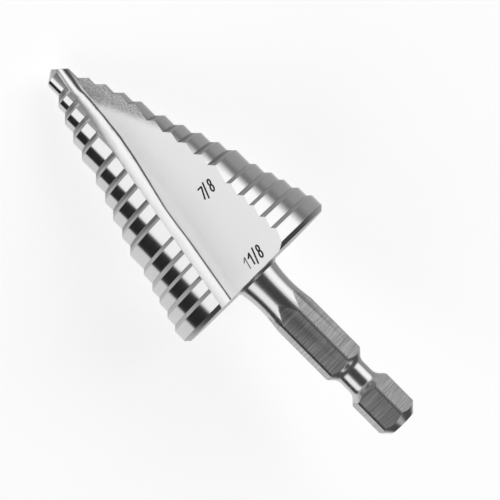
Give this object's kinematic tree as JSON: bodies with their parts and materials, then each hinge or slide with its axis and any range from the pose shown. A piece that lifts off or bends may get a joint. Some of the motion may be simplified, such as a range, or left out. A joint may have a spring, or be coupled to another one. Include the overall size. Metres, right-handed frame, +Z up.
{
  "type": "step drill",
  "caption": "Stepped cone drill with straight flutes, stepped cutting lands, a waisted neck and a hexagon power-bit shank with a latch groove.",
  "frame": {"origin": "middle of the footprint, on the surface that the drill lies on", "axes": "+X along the length from the point to the shank, which rises towards the shank end; +Z up"},
  "size_m": [0.0714, 0.0284, 0.0261],
  "materials": {
    "ground_steel": "polished turned lands, ground flutes, milled hexagon flats"
  },
  "bodies": {
    "root": {"step_drill": "ground_steel"}
  },
  "joints": []
}
